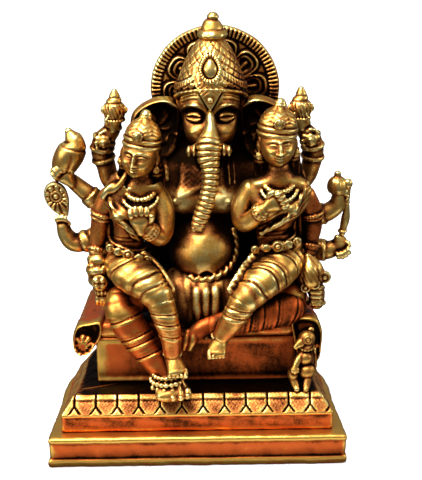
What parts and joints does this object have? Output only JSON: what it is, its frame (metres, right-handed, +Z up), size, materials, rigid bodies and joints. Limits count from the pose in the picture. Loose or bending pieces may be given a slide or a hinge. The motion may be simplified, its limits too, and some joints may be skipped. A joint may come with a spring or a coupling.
{
  "type": "ganesha idol",
  "caption": "Seated elephant-headed deity with a consort on each thigh, on a throne over a lotus tier and a D-shaped plinth, cast in antique brass.",
  "frame": {"origin": "middle of the plinth's footprint, on its flat underside", "axes": "+Z up, the figures face -Y, +X to the viewer's right when the front is looked at"},
  "size_m": [0.1353, 0.092, 0.19],
  "materials": {
    "polished_brass": "antique brass, relief rubbed bright over dark patina",
    "lacquered_brass": "warm red-brown lacquered brass, brushed, dark in the recesses",
    "dark_brass": "dark patinated brass"
  },
  "bodies": {
    "root": {"belly": "polished_brass", "pendant_foot": "polished_brass", "head": "polished_brass", "trunk": "polished_brass", "tusk_left": "polished_brass", "tusk_right": "polished_brass", "ear_left": "polished_brass", "ear_right": "polished_brass", "crown": "polished_brass", "crown_jewel": "polished_brass", "crown_finial": "polished_brass", "arm_left_upper": "polished_brass", "arm_left_middle": "polished_brass", "arm_left_lower": "polished_brass", "arm_right_upper": "polished_brass", "arm_right_middle": "polished_brass", "arm_right_lower": "polished_brass", "bud_left_upper": "polished_brass", "bud_right_upper": "polished_brass", "lotus_bud_left": "polished_brass", "lotus_fan_left": "polished_brass", "sweet_bowl_right": "polished_brass", "staff_right": "polished_brass", "front_hand_left": "polished_brass", "front_hand_right": "polished_brass", "consort_left_thighs": "polished_brass", "consort_left_shins": "polished_brass", "consort_left_foot": "polished_brass", "consort_left_torso": "polished_brass", "consort_left_inner_arm": "polished_brass", "consort_left_outer_arm": "polished_brass", "consort_left_head": "polished_brass", "consort_left_crown": "polished_brass", "consort_right_thighs": "polished_brass", "consort_right_shins": "polished_brass", "consort_right_foot": "polished_brass", "consort_right_torso": "polished_brass", "consort_right_inner_arm": "polished_brass", "consort_right_outer_arm": "polished_brass", "consort_right_head": "polished_brass", "consort_right_crown": "polished_brass", "mouse": "polished_brass", "plinth": "lacquered_brass", "lotus_tier": "lacquered_brass", "throne_block": "lacquered_brass", "seat_slab": "lacquered_brass", "armrest_left": "lacquered_brass", "armrest_right": "lacquered_brass", "pendant_thigh": "lacquered_brass", "pendant_shin": "lacquered_brass", "folded_thigh": "lacquered_brass", "folded_shin": "lacquered_brass", "folded_foot": "lacquered_brass", "torso": "dark_brass", "cloth_fall": "dark_brass", "halo": "dark_brass"}
  },
  "joints": []
}
